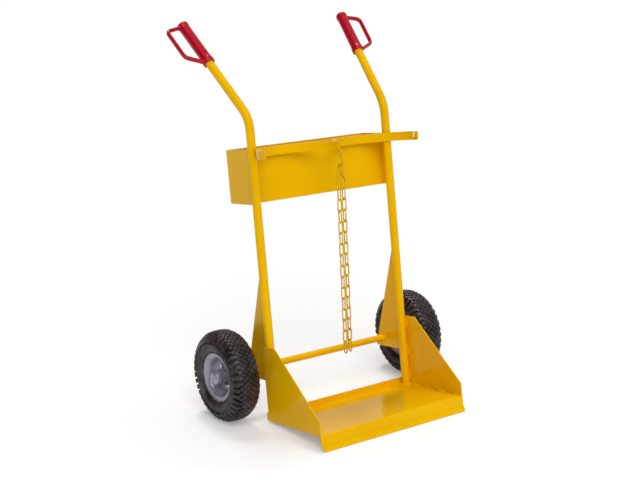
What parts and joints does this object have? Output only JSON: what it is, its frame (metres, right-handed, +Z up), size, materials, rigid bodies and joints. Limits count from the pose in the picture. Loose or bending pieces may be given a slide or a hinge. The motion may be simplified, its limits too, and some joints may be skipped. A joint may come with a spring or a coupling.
{
  "type": "hand truck",
  "caption": "Welded steel hand truck for gas cylinders, with a lipped tray, saddle bar with chains, open toolbox, guarded grips and pneumatic wheels.",
  "frame": {"origin": "on the floor under the middle of the bounding box, with the truck standing on its wheels and its lip", "axes": "+Z up, +X to the truck's right across the axle seen from behind the handles, +Y from the tray towards the handles"},
  "size_m": [0.752, 0.6556, 1.1017],
  "materials": {
    "frame_paint": "glossy yellow powder coat",
    "chain_paint": "yellow coated welded chain",
    "grip_plastic": "soft red moulded vinyl",
    "tyre_rubber": "matt black tread rubber",
    "tube_rubber": "black butyl rubber",
    "rim_paint": "satin silver-grey lacquer",
    "zinc_steel": "zinc-plated steel",
    "bearing_steel": "ground bearing steel"
  },
  "bodies": {
    "frame": {"left_upright": "frame_paint", "right_upright": "frame_paint", "left_grip": "grip_plastic", "right_grip": "grip_plastic", "tray": "frame_paint", "left_side_plate": "frame_paint", "right_side_plate": "frame_paint", "left_axle_gusset": "frame_paint", "right_axle_gusset": "frame_paint", "saddle_bar": "frame_paint", "toolbox_shell": "frame_paint", "toolbox_left_end": "frame_paint", "toolbox_right_end": "frame_paint", "chain_ring": "chain_paint", "chain_top_links": "chain_paint", "axle": "frame_paint", "left_axle_spacer": "frame_paint", "right_axle_spacer": "frame_paint", "left_inner_washer": "zinc_steel", "right_inner_washer": "zinc_steel", "left_outer_washer": "zinc_steel", "right_outer_washer": "zinc_steel", "left_split_pin": "zinc_steel", "right_split_pin": "zinc_steel"},
    "left_wheel": {"left_wheel_tyre": "tyre_rubber", "left_wheel_inner_tube": "tube_rubber", "left_wheel_outer_rim": "rim_paint", "left_wheel_inner_rim": "rim_paint", "left_wheel_bolts": "zinc_steel", "left_wheel_nuts": "zinc_steel", "left_wheel_valve": "tube_rubber", "left_wheel_hub": "rim_paint", "left_wheel_inner_bearing": "bearing_steel", "left_wheel_outer_bearing": "bearing_steel", "left_wheel_hub_cap": "rim_paint"},
    "right_wheel": {"right_wheel_tyre": "tyre_rubber", "right_wheel_inner_tube": "tube_rubber", "right_wheel_outer_rim": "rim_paint", "right_wheel_inner_rim": "rim_paint", "right_wheel_bolts": "zinc_steel", "right_wheel_nuts": "zinc_steel", "right_wheel_valve": "tube_rubber", "right_wheel_hub": "rim_paint", "right_wheel_inner_bearing": "bearing_steel", "right_wheel_outer_bearing": "bearing_steel", "right_wheel_hub_cap": "rim_paint"},
    "left_chain_upper": {"left_chain_upper": "chain_paint"},
    "left_chain_middle": {"left_chain_middle": "chain_paint"},
    "left_chain_lower": {"left_chain_lower": "chain_paint"},
    "right_chain_upper": {"right_chain_upper": "chain_paint"},
    "right_chain_middle": {"right_chain_middle": "chain_paint"},
    "right_chain_lower": {"right_chain_lower": "chain_paint"}
  },
  "joints": [
    {"name": "left_wheel_spin", "type": "hinge", "parent": "frame", "child": "left_wheel", "pos_m": [-0.3305, 0.03486, 0.13], "axis": [1, 0, 0], "continuous": true},
    {"name": "right_wheel_spin", "type": "hinge", "parent": "frame", "child": "right_wheel", "pos_m": [0.3305, 0.03486, 0.13], "axis": [1, 0, 0], "continuous": true},
    {"name": "left_chain_swing", "type": "hinge", "parent": "frame", "child": "left_chain_upper", "pos_m": [-0.00568, -0.06235, 0.70477], "axis": [1, 0, 0], "range_deg": [-91, 6]},
    {"name": "left_chain_wrap", "type": "hinge", "parent": "left_chain_upper", "child": "left_chain_middle", "pos_m": [-0.00979, -0.07339, 0.54694], "axis": [0, 0.9976, -0.0698], "range_deg": [0, 30]},
    {"name": "left_chain_hook", "type": "hinge", "parent": "left_chain_middle", "child": "left_chain_lower", "pos_m": [-0.00979, -0.08665, 0.3572], "axis": [0, 0.9976, -0.0698], "range_deg": [0, 75]},
    {"name": "right_chain_swing", "type": "hinge", "parent": "frame", "child": "right_chain_upper", "pos_m": [0.00568, -0.05715, 0.70477], "axis": [1, 0, 0], "range_deg": [-91, 6]},
    {"name": "right_chain_wrap", "type": "hinge", "parent": "right_chain_upper", "child": "right_chain_middle", "pos_m": [0.00979, -0.06819, 0.54694], "axis": [0, 0.9976, -0.0698], "range_deg": [-30, 0]},
    {"name": "right_chain_hook", "type": "hinge", "parent": "right_chain_middle", "child": "right_chain_lower", "pos_m": [0.00979, -0.08145, 0.3572], "axis": [0, 0.9976, -0.0698], "range_deg": [-75, 0]}
  ]
}
